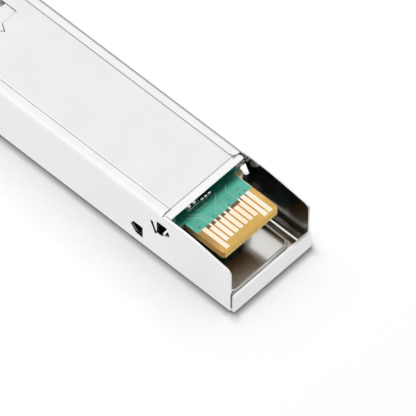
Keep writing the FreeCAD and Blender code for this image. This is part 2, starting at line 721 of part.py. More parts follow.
    # rails that the board lies against, and the saddle over the optical subassemblies' necks
    rail_end_y = f"({opening_y} - rail_to_opening)"
    rail_start_y = f"({board_front_y} + rail_to_board_front)"
    rail_half = f"({casting_half} - rail_width)"
    rails = [rectangle(f"{sign}{rail_half}", f"{sign}{casting_half}", rail_start_y, rail_end_y)
             for sign in ("", "-")]
    prism(body, "board_rails", "XY_Plane", board_face_z, plate_under_z, rails)
    saddle_y = f"({neck_y} + neck_length / 2 - saddle_thickness / 2)"
    saddle = rectangle(f"-{casting_half}", casting_half, optic_z, plate_under_z)
    saddle_end_y = f"({saddle_y} + saddle_thickness)"
    prism(body, "saddle", "XZ_Plane", saddle_y, saddle_end_y, [saddle])
    necks = [(f"({sign}port_pitch / 2)", optic_z, "(neck_radius + cradle_fit)") for sign in ("", "-")]
    prism(body, "saddle_cradles", "XZ_Plane", saddle_y, saddle_end_y, circles=necks, cut=True)
    return body


def optics_clamp():
    # bridge that holds the subassemblies' necks up into the saddle
    body = new_body("optics_clamp")
    clamp_y = f"({neck_y} + neck_length / 2 - saddle_thickness / 2)"
    clamp = rectangle(f"-{casting_half}", casting_half, raised_floor_z, f"({optic_z} - cradle_fit)")
    clamp_end_y = f"({clamp_y} + saddle_thickness)"
    prism(body, "clamp_plate", "XZ_Plane", clamp_y, clamp_end_y, [clamp])
    necks = [(f"({sign}port_pitch / 2)", optic_z, "(neck_radius + cradle_fit)") for sign in ("", "-")]
    prism(body, "clamp_cradles", "XZ_Plane", clamp_y, clamp_end_y, circles=necks, cut=True)
    return body


def circuit_board():
    # board with a narrow card-edge tongue between two rounded ears that stop short of the shell's tabs
    body = new_body("circuit_board")
    shoulder = f"({opening_y} - tongue_shoulder_to_opening)"
    ear_end_y = f"({opening_y} + ear_past_opening)"
    tongue = "(tongue_width / 2)"
    wide = "(body_width / 2 - board_side_gap)"
    tip = f"({tongue} - tongue_corner_chamfer)"
    bevel_y = f"({board_end_y} - tongue_corner_chamfer)"
    right_side = [
        (wide, board_front_y),
        (wide, shoulder),
        ("ear_half_width", shoulder),
        ("ear_half_width", ear_end_y, "ear_round"),
        (tongue, ear_end_y),
        (tongue, bevel_y),
        (tip, board_end_y),
    ]
    left_side = [(f"-{corner[0]}",) + corner[1:] for corner in reversed(right_side)]
    prism(body, "board", "XY_Plane", board_back_z, board_face_z, [right_side + left_side])
    return body


def contacts(label, low_z):
    # ten gold fingers: ground and supply ones reach further to mate first, the others start at a neck
    count = 10
    long_fingers = (0, count - 2, count - 1)
    neckless_finger = 6
    zone_y = f"({board_end_y} - contact_zone)"
    fingers = []
    for number in range(count):
        across = f"({(count - 1) / 2 - number} * contact_pitch)"
        name = f"{label}_{number + 1}"
        if number in long_fingers:
            length = "(contact_zone - long_contact_setback)"
            fingers.append(block(name, across, "contact_width", zone_y, length, low_z, "contact_thickness"))
            continue
        length = "(contact_zone - short_contact_setback - contact_neck_length)"
        finger_y = f"({zone_y} + contact_neck_length)"
        finger = block(f"{name}_finger", across, "contact_width", finger_y, length, low_z,
                       "contact_thickness")
        if number == neckless_finger:
            fingers.append(finger)
            continue
        neck = block(f"{name}_neck", f"({across} - contact_neck_offset)", "contact_neck_width", zone_y,
                     "(2 * contact_neck_length)", low_z, "contact_thickness")
        joined = doc.addObject("Part::MultiFuse", name)
        joined.Shapes = [finger, neck]
        joined.Refine = True
        fingers.append(joined)
    return group(label, fingers)


def optical_subassembly(label, sign):
    # turned barrel: nosepiece in the port, flange on the bulkhead, neck in the saddle, can and header behind
    tip_y = f"({port_back_y} - nosepiece_reach)"
    well_y = f"({tip_y} + sleeve_recess + sleeve_length)"
    body = turned(label, [
        ("sleeve_outer_radius", tip_y),
        ("nosepiece_radius", tip_y),
        ("nosepiece_radius", bulkhead_y),
        ("flange_radius", bulkhead_y),
        ("flange_radius", neck_y),
        ("neck_radius", neck_y),
        ("neck_radius", can_y),
        ("can_radius", can_y),
        ("can_radius", can_end_y),
        ("header_radius", can_end_y),
        ("header_radius", header_y),
        ("0", header_y),
        ("0", well_y),
        ("sleeve_outer_radius", well_y),
    ])
    body.setExpression("Placement.Base.x", tied(f"{sign}port_pitch / 2"))
    body.setExpression("Placement.Base.z", tied(optic_z))
    return body


def ferrule_sleeve(label, sign):
    # ceramic sleeve that lines the nosepiece and takes the plug's ferrule
    low_y = f"({port_back_y} - nosepiece_reach + sleeve_recess)"
    wall = rectangle("ferrule_bore_radius", "sleeve_outer_radius", low_y, f"({low_y} + sleeve_length)")
    body = turned(label, wall)
    body.setExpression("Placement.Base.x", tied(f"{sign}port_pitch / 2"))
    body.setExpression("Placement.Base.z", tied(optic_z))
    return body


def flex_circuit(label, sign):
    # ribbon from the header's back, bent to lie under the board's front edge
    body = new_body(label)
    outer = "(flex_bend_radius + flex_gauge)"
    foot_z = f"({optic_z} - flex_tail)"
    under_z = f"({board_back_z} - flex_gauge)"
    ribbon = [
        (header_y, foot_z),
        (f"({header_y} + flex_gauge)", foot_z),
        (f"({header_y} + flex_gauge)", under_z, "flex_bend_radius"),
        (f"({board_front_y} + flex_overlap)", under_z),
        (f"({board_front_y} + flex_overlap)", board_back_z),
        (header_y, board_back_z, outer),
    ]
    middle = f"({sign}port_pitch / 2)"
    prism(body, f"{label}_ribbon", "YZ_Plane", f"({middle} - flex_width / 2)",
          f"({middle} + flex_width / 2)", [ribbon])
    return body


def latch_rocker():
    # rocker that carries the triangular boss; its front tongue rides on the bail's cam
    body = new_body("latch_rocker")
    rear = f"({window_rear_y} - rocker_end_gap)"
    hub_rear = f"({rocker_pin_y} + rocker_hub_radius)"
    hub_front = f"({rocker_pin_y} - rocker_hub_radius)"
    hub_low = f"({rocker_pin_z} - rocker_hub_radius)"
    tongue_low = f"({pivot_z} + tongue_rise)"
    tongue_top = f"({tongue_low} + tongue_gauge)"
    tip = f"({pivot_y} + tongue_tip_to_pivot)"
    profile = [
        (rear, rocker_under_z),
        (rear, rocker_top_z),
        (hub_rear, rocker_top_z, "rocker_hub_radius"),
        (f"({tip} + tongue_reach)", tongue_top, "rocker_hub_radius"),
        (tip, tongue_top, "(tongue_gauge / 2)"),
        (tip, tongue_low),
        (f"({tip} + tongue_reach - tongue_gauge)", tongue_low),
        (hub_front, hub_low, "(rocker_hub_radius / 2)"),
        (hub_rear, hub_low, "(rocker_hub_radius / 2)"),
        (hub_rear, rocker_under_z),
    ]
    prism(body, "rocker_lever", "YZ_Plane", "-rocker_half_width", "rocker_half_width", [profile])
    # waist between the hub and the tail's ears
    waist_front = f"({hub_rear} + rocker_waist_setback)"
    ear_front = f"({shoulder_y} - rocker_ear_to_shoulder)"
    waists = [rectangle(f"{sign}rocker_waist_half", f"{sign}window_half_width", waist_front, ear_front)
              for sign in ("", "-")]
    prism(body, "rocker_waist", "XY_Plane", hub_low, tongue_top, waists, cut=True)
    boss_z = "(body_height + boss_height)"
    boss = [("-boss_half_width", shoulder_y), ("boss_half_width", shoulder_y), ("0", boss_tip_y)]
    prism(body, "boss", "XY_Plane", rocker_under_z, boss_z, [boss])
    ramp = [
        (shoulder_y, boss_z),
        (boss_tip_y, "(body_height + boss_tip_height)"),
        (f"({boss_tip_y} + boss_gap)", "(body_height + boss_tip_height)"),
        (f"({boss_tip_y} + boss_gap)", f"({boss_z} + boss_gap)"),
        (shoulder_y, f"({boss_z} + boss_gap)"),
    ]
    prism(body, "boss_ramp", "YZ_Plane", "-boss_half_width", "boss_half_width", [ramp], cut=True)
    prism(body, "rocker_bore", "YZ_Plane", "-rocker_half_width", "rocker_half_width",
          circles=[(rocker_pin_y, rocker_pin_z, "(rocker_pin_radius + running_fit)")], cut=True)
    return body


def rocker_pin():
    body = new_body("rocker_pin")
    prism(body, "pin", "YZ_Plane", "-rocker_pin_reach", "rocker_pin_reach",
          circles=[(rocker_pin_y, rocker_pin_z, "rocker_pin_radius")])
    return body


def latch_spring():
    # leaf on the bulkhead that pushes the rocker's tail outwards
    body = new_body("latch_spring")
    foot_front = f"({bulkhead_y} - spring_foot)"
    crest = f"({bulkhead_y} + spring_reach)"
    crest_z = f"({rocker_under_z} - spring_gap - spring_gauge)"
    leaf = [
        (foot_front, notch_floor_z),
        (bulkhead_y, notch_floor_z),
        (crest, crest_z),
        (crest, f"({crest_z} + spring_gauge)"),
        (f"({bulkhead_y} - spring_gauge / 2)", f"({notch_floor_z} + spring_gauge)"),
        (foot_front, f"({notch_floor_z} + spring_gauge)"),
    ]
    prism(body, "leaf", "YZ_Plane", "-spring_half_width", "spring_half_width", [leaf])
    return body


def bail():
    # wire bent round the port face, its turned-in ends carried in the cheeks
    end_x = value("cheek_inner_half - cam_side_gap - bail_end_engagement")
    arm_x = value(f"{nose_half} - bail_arm_inset")
    hinge_y = value(pivot_y)
    hinge_z = value(pivot_z)
    bar_y = value(f"{front_y} + bail_wire_radius")
    bar_z = value("bail_bar_height")
    right = [
        (end_x, hinge_y, hinge_z),
        (arm_x, hinge_y, hinge_z),
        (arm_x, bar_y, hinge_z),
        (arm_x, bar_y, bar_z),
    ]
    left = [(-x, y, z) for x, y, z in reversed(right)]
    points = [FreeCAD.Vector(*point) for point in right + left]
    hinge_bend = value("bail_pivot_bend")
    bar_bend = value("bail_bar_bend")
    bends = [hinge_bend, hinge_bend, bar_bend, bar_bend, hinge_bend, hinge_bend]
    edges = []
    start = points[0]
    for before, here, after, bend in zip(points, points[1:], points[2:], bends):
        back = (before - here).normalize()
        ahead = (after - here).normalize()
        first = here + back * bend
        last = here + ahead * bend
        middle = here + (back + ahead) * bend * (1 - math.sqrt(0.5))
        edges.append(Part.LineSegment(start, first).toShape())
        edges.append(Part.Arc(first, middle, last).toShape())
        start = last
    edges.append(Part.LineSegment(start, points[-1]).toShape())
    path = doc.addObject("Part::Feature", "bail_path")
    path.Shape = Part.Wire(edges)
    section = doc.addObject("Part::Circle", "bail_section")
    section.setExpression("Radius", tied("bail_wire_radius"))
    facing_x = FreeCAD.Rotation(FreeCAD.Vector(0, 0, 1), FreeCAD.Vector(1, 0, 0))
    section.Placement = FreeCAD.Placement(points[0], facing_x)
    wire = doc.addObject("Part::Sweep", "bail")
    wire.Sections = [section]
    wire.Spine = (path, [f"Edge{number}" for number in range(1, len(edges) + 1)])
    wire.Solid = True
    wire.Frenet = True
    wire.Label = "bail"
    return wire


def cam_barrel():
    # eccentric barrel on the bail's ends; turning the bail lifts the rocker's tongue
    body = new_body("cam_barrel")
    half = "(cheek_inner_half - cam_side_gap)"
    prism(body, "barrel", "YZ_Plane", f"-{half}", half,
          circles=[(f"({pivot_y} - cam_forward_offset)", f"({pivot_z} - cam_inward_offset)", "cam_radius")])
    end_hole = [(pivot_y, pivot_z, "bail_wire_radius")]
    inner = f"({half} - bail_end_engagement)"
    prism(body, "right_end_hole", "YZ_Plane", inner, half, circles=end_hole, cut=True)
    prism(body, "left_end_hole", "YZ_Plane", f"-{half}", f"-{inner}", circles=end_hole, cut=True)
    return body


def board_parts():
    # chips and passives soldered to both faces of the board
    chip_z = f"({board_back_z} - chip_height)"
    controller_y = f"({board_front_y} + {board_length} * controller_share)"
    front_chip_y = f"({board_front_y} + front_chips_to_board_front)"
    chips = [
        block("controller_chip", "0", "controller_side", controller_y, "controller_side",
              chip_z, "chip_height"),
        block("laser_driver_chip", "(port_pitch / 2)", "driver_side", front_chip_y,
              "driver_side", chip_z, "chip_height"),
        block("limiting_amplifier_chip", "(-port_pitch / 2)", "amplifier_side",
              front_chip_y, "amplifier_side", chip_z, "chip_height"),
        block("memory_chip", "0", "memory_length", f"({board_end_y} - memory_to_end)", "memory_width",
              chip_z, "chip_height"),
    ]
    capacitor_z = f"({board_back_z} - capacitor_height)"
    capacitors = []
    for number in range(6):
        along = f"({controller_y} + {number} * capacitor_pitch)"
        for side, sign in (("right", ""), ("left", "-")):
            across = f"({sign}(controller_side / 2 + capacitor_length))"
            capacitors.append(block(f"{side}_capacitor_{number + 1}", across, "capacitor_length", along,
                                    "capacitor_width", capacitor_z, "capacitor_height"))
    beads = []
    for side, sign in (("right", ""), ("left", "-")):
        beads.append(block(f"{side}_bead", f"({sign}2 * bead_width)", "bead_length",
                           f"({board_front_y} + {board_length} * bead_share)", "bead_width",
                           f"({board_back_z} - bead_height)", "bead_height"))
    resistors = []
    for number in (-1, 0, 1):
        resistors.append(block(f"resistor_{number + 2}", f"({number} * resistor_pitch + resistor_pitch / 3)",
                               "resistor_width", f"({board_end_y} - resistor_to_end)", "resistor_length",
                               board_face_z, "resistor_height"))
    resistor_middle_y = f"({board_end_y} - resistor_to_end + resistor_length / 2)"
    diode_y = f"({resistor_middle_y} - diode_setback - diode_width / 2)"
    diode = block("supply_diode", "diode_across", "diode_length", diode_y, "diode_width", board_face_z,
                  "diode_height")
    return chips + [group("bypass_capacitors", capacitors), group("ferrite_beads", beads),
                    group("pull_up_resistors", resistors), diode]


pieces = [
    outer_shell(),
    base_casting(),
    optics_clamp(),
    circuit_board(),
    contacts("latch_side_contacts", board_face_z),
    contacts("label_side_contacts", f"({board_back_z} - contact_thickness)"),
    optical_subassembly("transmitter_barrel", ""),
    optical_subassembly("receiver_barrel", "-"),
    ferrule_sleeve("transmitter_sleeve", ""),
    ferrule_sleeve("receiver_sleeve", "-"),
    flex_circuit("transmitter_flex", ""),
    flex_circuit("receiver_flex", "-"),
    latch_rocker(),
    rocker_pin(),
    latch_spring(),
    bail(),
    cam_barrel(),
] + board_parts()

doc.recompute()

# Every object must be up to date, every pocket must have cut, and every piece must be sound
for item in doc.Objects:
    if "Invalid" in item.State or "Error" in item.State:
        raise RuntimeError(f"{item.Label} is {item.State}")
    if item.TypeId == "PartDesign::Pocket" and item.Shape.Volume > item.BaseFeature.Shape.Volume - 1e-6:
        raise RuntimeError(f"{item.Label} cuts nothing")
os.makedirs("parts", exist_ok=True)
for piece in pieces:
    if piece.Shape.isNull() or not piece.Shape.isValid():
        raise RuntimeError(f"{piece.Label} has no sound shape")
for piece in pieces:
    piece.Shape.exportStep(f"parts/{piece.Label}.step")
    size = piece.Shape.BoundBox
    print(f"{piece.Label}: {len(piece.Shape.Solids)} solids, {piece.Shape.Volume:.2f} mm3,"
          f" {size.XLength:.2f} x {size.YLength:.2f} x {size.ZLength:.2f} mm")
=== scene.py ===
import json

import bpy
import numpy as np
from mathutils import Matrix, Vector


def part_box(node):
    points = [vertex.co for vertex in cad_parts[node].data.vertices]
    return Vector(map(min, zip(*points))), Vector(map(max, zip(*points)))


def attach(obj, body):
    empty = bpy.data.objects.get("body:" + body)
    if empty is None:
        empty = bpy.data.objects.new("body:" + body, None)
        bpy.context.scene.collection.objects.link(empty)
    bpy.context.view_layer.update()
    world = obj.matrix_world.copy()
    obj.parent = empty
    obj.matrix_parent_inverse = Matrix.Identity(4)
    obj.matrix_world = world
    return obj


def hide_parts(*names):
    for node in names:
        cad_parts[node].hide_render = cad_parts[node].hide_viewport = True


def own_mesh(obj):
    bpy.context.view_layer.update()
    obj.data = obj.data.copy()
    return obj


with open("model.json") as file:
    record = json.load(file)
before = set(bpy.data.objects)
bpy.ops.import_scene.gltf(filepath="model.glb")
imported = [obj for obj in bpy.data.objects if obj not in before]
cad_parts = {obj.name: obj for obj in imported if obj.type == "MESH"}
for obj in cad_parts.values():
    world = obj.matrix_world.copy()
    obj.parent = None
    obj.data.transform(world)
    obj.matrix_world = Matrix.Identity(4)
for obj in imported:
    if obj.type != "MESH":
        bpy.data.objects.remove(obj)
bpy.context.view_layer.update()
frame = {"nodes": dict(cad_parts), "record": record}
mm = 0.001
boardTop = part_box("circuit_board")[1][2] / mm
boardMiddle = boardTop - 0.5  # half of the board's thickness down
print("frame loaded:", len(frame["nodes"]), "nodes")


def shade(tone):  # an sRGB colour of 0 to 255 as linear values
    c = np.array(tone) / 255
    return (*np.where(c <= 0.04045, c / 12.92, ((c + 0.055) / 1.055) ** 2.4).tolist(), 1.0)


class Wire:  # a node socket; arithmetic on wires adds Math nodes, node() adds any other
    def __init__(self, tree, socket=None):
        self.tree = tree
        self.socket = socket

    def node(self, kind, settings=None, sockets=None, out=0):
        made = self.tree.nodes.new(kind)
        for key, setting in (settings or {}).items():
            setattr(made, key, setting)
        for key, given in (sockets or {}).items():
            if isinstance(given, Wire):
                self.tree.links.new(given.socket, made.inputs[key])
            else:
                made.inputs[key].default_value = given
        return Wire(self.tree, made.outputs[out] if made.outputs else None)

    def sum(self, operation, *given):
        return self.node("ShaderNodeMath", {"operation": operation}, dict(enumerate(given)))

    def __add__(self, other):
        return self.sum("ADD", self, other)

    def __sub__(self, other):
        return self.sum("SUBTRACT", self, other)

    def __rsub__(self, other):
        return self.sum("SUBTRACT", other, self)

    def __mul__(self, other):
        return self.sum("MULTIPLY", self, other)

    def __neg__(self):
        return self.sum("MULTIPLY", self, -1.0)

    def __gt__(self, other):
        return self.sum("GREATER_THAN", self, other)

    def __lt__(self, other):
        return self.sum("LESS_THAN", self, other)

    def size(self):
        return self.sum("ABSOLUTE", self)

    def between(self, low, high):  # 1 between the two, 0 outside
        return (self > low) * (self < high)

    def ramp(self, low, high):  # 0 below low, 1 above high, smooth between
        return self.node("ShaderNodeMapRange", {"interpolation_type": "SMOOTHSTEP"},
                         {"Value": self, "From Min": low, "From Max": high})

    def mix(self, first, second):  # two colours blended by this wire, each a wire or an sRGB tone
        first, second = [tone if isinstance(tone, Wire) else shade(tone) for tone in (first, second)]
        return self.node("ShaderNodeMix", {"data_type": "RGBA"}, {0: self, 6: first, 7: second}, out=2)

    __radd__ = __add__
    __rmul__ = __mul__


def newFinish(name):
    material = bpy.data.materials.new(name)
    material.use_nodes = True
    material.node_tree.nodes.clear()
    return material, Wire(material.node_tree)


def placeInMm(wire):  # object coordinates in millimetres
    place = wire.node("ShaderNodeTexCoord", out="Object")
    return wire.node("ShaderNodeVectorMath", {"operation": "SCALE"}, {0: place, "Scale": 1 / mm})


def apart(wire, place, axes="XYZ"):  # the coordinates of a place: X runs across, Y along, Z up
    return [wire.node("ShaderNodeSeparateXYZ", None, {0: place}, out=axis) for axis in axes]


noiseMiddle = 0.5


def noise(wire, place, scale, detail, stretch=(1, 1, 1)):
    moved = wire.node("ShaderNodeMapping", None, {"Vector": place, "Scale": stretch})
    return wire.node("ShaderNodeTexNoise", None, {"Vector": moved, "Scale": scale, "Detail": detail})


def leaning(wire, x=0.0, y=0.0, z=0.0):  # the face's own normal, leaning by (x, y, z)
    flat = wire.node("ShaderNodeNewGeometry", out="Normal")
    tilt = wire.node("ShaderNodeCombineXYZ", None, {"X": x, "Y": y, "Z": z})
    moved = wire.node("ShaderNodeVectorMath", {"operation": "ADD"}, {0: flat, 1: tilt})
    return wire.node("ShaderNodeVectorMath", {"operation": "NORMALIZE"}, {0: moved})


reliefDepth = 0.02 * mm


def surface(material, wire, height, bumpStrength, facing=None, **sockets):
    relief = {"Strength": bumpStrength, "Distance": reliefDepth, "Height": height}
    if facing is not None:
        relief["Normal"] = facing
    sockets["Normal"] = wire.node("ShaderNodeBump", None, relief)
    spaced = {key.replace("_", " "): given for key, given in sockets.items()}
    shader = wire.node("ShaderNodeBsdfPrincipled", None, spaced)
    wire.node("ShaderNodeOutputMaterial", None, {"Surface": shader})
    return material


# metals: cloudy plating, a fine drawn or cast grain, sparse dull specks
metalTexture = {"cloudScale": 0.32, "cloudDetail": 4.0, "cloudTurn": (0.3, 0.7),
                "grainScale": 1.0, "grainDetail": 2.0, "grainRough": 0.03,
                "speckScale": 5.5, "speckDetail": 1.0, "speckTurn": (0.70, 0.76),
                "speckRough": 0.4, "speckDepth": 0.5}
metalLooks = {
    "shell_nickel": {"pale": (248, 248, 248), "deep": (244, 244, 244), "rough": (0.19, 0.25),
                     "grain": (30, 1.5, 30), "bump": 0.03, "speck": 0.20, "folded": True, "seamed": True},
    "casting_nickel": {"pale": (243, 243, 243), "deep": (240, 240, 240), "rough": (0.28, 0.34),
                       "grain": (14, 14, 14), "bump": 0.06, "speck": 0.10, "seamed": True},
    "optics_steel": {"pale": (214, 215, 217), "deep": (190, 191, 194), "rough": (0.18, 0.30),
                     "grain": (4, 40, 4), "bump": 0.08, "speck": 0.10},
    "latch_steel": {"pale": (245, 245, 244), "deep": (232, 232, 231), "rough": (0.16, 0.28),
                    "grain": (24, 2, 24), "bump": 0.06, "speck": 0.15},
    "spring_steel": {"pale": (205, 207, 210), "deep": (178, 180, 184), "rough": (0.18, 0.30),
                     "grain": (2, 30, 2), "bump": 0.05, "speck": 0.10},
    "bail_wire": {"pale": (208, 210, 213), "deep": (184, 186, 190), "rough": (0.14, 0.26),
                  "grain": (20, 20, 20), "bump": 0.05, "speck": 0.15},
    "tinned_ends": {"pale": (252, 252, 248), "deep": (240, 239, 233), "rough": (0.38, 0.52),
                    "grain": (9, 9, 9), "bump": 0.12, "speck": 0.08, "metallic": 0.9, "leanBack": 0.6},
    "contact_gold": {"pale": (255, 248, 230), "deep": (255, 240, 212), "rough": (0.22, 0.34),
                     "grain": (26, 2, 26), "bump": 0.05, "speck": 0.10,
                     # the hidden row: a deeper gold as painted shade under the board, paler towards the card
                     # edge
                     "under": (172, 138, 92), "underEnd": (255, 244, 222), "underTurn": (21.4, 24.0)},
}

# the folded sheet keeps its rolled polish inside, where the walls carry painted shade and the pressed floor
# lies askew; outside, its side walls carry a little painted shade and its right fold a painted highlight
shellLook = {
    "insideHalf": 6.45, "insideHeight": (0.27, 8.15), "lip": 27.97, "polish": 0.6,
    "wall": (226, 224, 220), "wallFrom": 6.2,
    "cornerWallPaintedShade": (120, 119, 116), "cornerEnd": 19.7, "cornerFoot": 6.2,
    "rearWallPaintedShade": (182, 178, 172), "rearTurn": (24.4, 25.2),
    "outer": (242, 242, 242), "outerRear": (250, 250, 250), "outerFrom": 6.69, "outerTurn": (23.0, 27.5),
    "gutterPaintedShade": (154, 149, 142), "gutterAcross": (-5.75, -5.13), "gutterTop": 0.45,
    "foldPaintedHighlight": (255, 255, 255), "foldHighlightTurn": (5.8, 6.6), "foldHighlightFoot": 8.2,
    "cutEdgePaintedShade": (132, 131, 128), "shearedAcross": (6.42, 6.68), "shearedHeight": (0.7, 7.6),
    "shearedEnd": 17.15,
    "pressedHeight": (0.5, 0.6), "pressedHalf": 5.0, "leanLeft": -0.058,
    "leanEdge": -0.11, "edgeTurn": (4.0, 4.75), "edgeEnd": -4.74,
    "leanBack": 0.07, "backTurn": (21.0, 29.0),
}


def insideShell(wire, place):
    across, along, height = apart(wire, place)
    within = (across.size() < shellLook["insideHalf"]) * (along < shellLook["lip"])
    return within * height.between(*shellLook["insideHeight"])


def askewFloor(wire, place):
    # the pressed floor leans to the left, most where it is rounded off there, and back towards its rear
    look = shellLook
    across, along, height = apart(wire, place)
    pressed = height.between(*look["pressedHeight"]) * (across.size() < look["pressedHalf"])
    edge = (-across).ramp(*look["edgeTurn"]) * (across > look["edgeEnd"]) * look["leanEdge"]
    back = along.ramp(*look["backTurn"]) * look["leanBack"]
    return leaning(wire, x=pressed * (edge + look["leanLeft"]), y=pressed * back)


def shellTones(wire, place, inside, colour):
    look = shellLook
    across, along, height = apart(wire, place)
    out = across.size()
    # painted shade on the inner walls, deepest by the strip's corner and darker towards the lip
    corner = (along < look["cornerEnd"]) * (height > look["cornerFoot"])
    wall = corner.mix(look["wall"], look["cornerWallPaintedShade"])
    wall = along.ramp(*look["rearTurn"]).mix(wall, look["rearWallPaintedShade"])
    colour = (inside * (out > look["wallFrom"])).mix(colour, wall)
    # painted shade on the side walls outside, paler towards the rear
    outer = along.ramp(*look["outerTurn"]).mix(look["outer"], look["outerRear"])
    colour = (out > look["outerFrom"]).mix(colour, outer)
    gutterPaintedShade = inside * across.between(*look["gutterAcross"]) * (height < look["gutterTop"])
    colour = gutterPaintedShade.mix(colour, look["gutterPaintedShade"])  # painted shade between the floor's bead and the left fold
    # a painted highlight along the right fold
    foldPaintedHighlight = across.ramp(*look["foldHighlightTurn"]) * (height > look["foldHighlightFoot"])
    foldPaintedHighlight = foldPaintedHighlight * (across < look["outerFrom"])
    colour = foldPaintedHighlight.mix(colour, look["foldPaintedHighlight"])
    cutEdgePaintedShade = out.between(*look["shearedAcross"]) * height.between(*look["shearedHeight"])
    cutEdgePaintedShade = cutEdgePaintedShade * (along < look["shearedEnd"])
    return cutEdgePaintedShade.mix(colour, look["cutEdgePaintedShade"])  # the cut edges of the windows are painted dark, as shade inside the openings


# the latch side carries painted shade down in its left seam and in the groove before the rear strip; the
# strip is paler, and a painted highlight runs along the panel's right edge
seamLook = {
    "height": (8.0, 8.51), "reach": 0.09, "left": -5.025, "end": 17.0, "seamPaintedShade": (217, 217, 219),
    "groove": 17.09, "grooveTop": 8.47, "groovePaintedShade": (226, 226, 228),
    "bright": (251, 251, 251), "stripFrom": 17.17, "stripFoot": 8.2,
    "edgeAcross": (5.1, 5.27), "edgeFoot": 8.4,
}


def seamTones(wire, place, colour):
    look = seamLook
    across, along, height = apart(wire, place)
    # the strip's paler tone, and a painted highlight along the panel's right edge
    strip = (along > look["stripFrom"]) * (height > look["stripFoot"])
    edge = across.between(*look["edgeAcross"]) * (height > look["edgeFoot"])
    colour = wire.sum("MAXIMUM", strip, edge).mix(colour, look["bright"])
    # painted shade in the left seam and the groove before the strip
    down = height.between(*look["height"])
    seam = down * ((across - look["left"]).size() < look["reach"]) * (along < look["end"])
    groove = down * ((along - look["groove"]).size() < look["reach"]) * (height < look["grooveTop"])
    return groove.mix(seam.mix(colour, look["seamPaintedShade"]), look["groovePaintedShade"])


def metalFinish(name):
    look, fine = metalLooks[name], metalTexture
    material, wire = newFinish(name)
    place = placeInMm(wire)
    cloud = noise(wire, place, fine["cloudScale"], fine["cloudDetail"])
    grain = noise(wire, place, fine["grainScale"], fine["grainDetail"], look["grain"])
    speck = noise(wire, place, fine["speckScale"], fine["speckDetail"])
    speck = speck.ramp(*fine["speckTurn"]) * look["speck"]
    low, high = look["rough"]
    colour = cloud.ramp(*fine["cloudTurn"]).mix(look["pale"], look["deep"])
    rough = cloud * (high - low) + low + grain * fine["grainRough"] + speck * fine["speckRough"]
    facing = None
    if "under" in look:  # painted shade: the hidden row is a deeper gold, paler towards the card edge
        along, height = apart(wire, place, "YZ")
        under = along.ramp(*look["underTurn"]).mix(look["under"], look["underEnd"])
        colour = (height < boardMiddle).mix(colour, under)
    if "leanBack" in look:  # solder slopes off to the rear
        facing = leaning(wire, y=look["leanBack"])
    if look.get("seamed"):
        colour = seamTones(wire, place, colour)
    if look.get("folded"):
        inside = insideShell(wire, place)
        colour = shellTones(wire, place, inside, colour)
        rough = rough * (1 - inside * (1 - shellLook["polish"]))
        facing = askewFloor(wire, place)
    return surface(material, wire, grain + speck * fine["speckDepth"], look["bump"], facing,
                   Base_Color=colour, Metallic=look.get("metallic", 1.0), Roughness=rough)


# mouldings, ceramics and film: a mottled colour with a fine surface tooth
plainTexture = {"mottleScale": 0.9, "mottleDetail": 4.0, "mottleTurn": (0.3, 0.7), "toothDetail": 2.0}
plainLooks = {
    "clamp_plastic": {"pale": (62, 62, 63), "deep": (40, 40, 41), "rough": (0.45, 0.60),
                      "tooth": 9.0, "bump": 0.2},
    "sleeve_ceramic": {"pale": (246, 243, 235), "deep": (233, 229, 218), "rough": (0.12, 0.22),
                       "tooth": 14.0, "bump": 0.04},
    "flex_amber": {"pale": (205, 138, 44), "deep": (165, 98, 22), "rough": (0.20, 0.34),
                   "tooth": 6.0, "bump": 0.06},
    "chip_black": {"pale": (52, 52, 54), "deep": (33, 33, 35), "rough": (0.40, 0.58),
                   "tooth": 16.0, "bump": 0.2},
    "capacitor_tan": {"pale": (186, 152, 112), "deep": (158, 122, 84), "rough": (0.38, 0.52),
                      "tooth": 12.0, "bump": 0.12},
    "bead_grey": {"pale": (122, 122, 124), "deep": (96, 96, 98), "rough": (0.42, 0.58),
                  "tooth": 12.0, "bump": 0.15},
    "resistor_black": {"pale": (48, 48, 52), "deep": (28, 28, 32), "rough": (0.30, 0.46),
                       "tooth": 12.0, "bump": 0.1},
    "legend_white": {"pale": (252, 252, 248), "deep": (244, 244, 240), "rough": (0.45, 0.60),
                     "tooth": 10.0, "bump": 0.2},
    "covered_copper": {"pale": (142, 190, 160), "deep": (118, 172, 144), "rough": (0.28, 0.40),
                       "tooth": 5.0, "bump": 0.1},
    "via_ring": {"pale": (112, 176, 152), "deep": (96, 158, 136), "rough": (0.30, 0.42),
                 "tooth": 8.0, "bump": 0.1},
    # the via holes: dark discs as painted shade inside the holes
    "via_hole_painted_shade": {"pale": (24, 40, 32), "deep": (14, 24, 18), "rough": (0.45, 0.60),
                 "tooth": 8.0, "bump": 0.1},
}


def plainFinish(name):
    look, fine = plainLooks[name], plainTexture
    material, wire = newFinish(name)
    place = placeInMm(wire)
    mottle = noise(wire, place, fine["mottleScale"], fine["mottleDetail"])
    tooth = noise(wire, place, look["tooth"], fine["toothDetail"])
    low, high = look["rough"]
    colour = mottle.ramp(*fine["mottleTurn"]).mix(look["pale"], look["deep"])
    rough = mottle * (high - low) + low
    return surface(material, wire, tooth, look["bump"], Base_Color=colour, Roughness=rough)


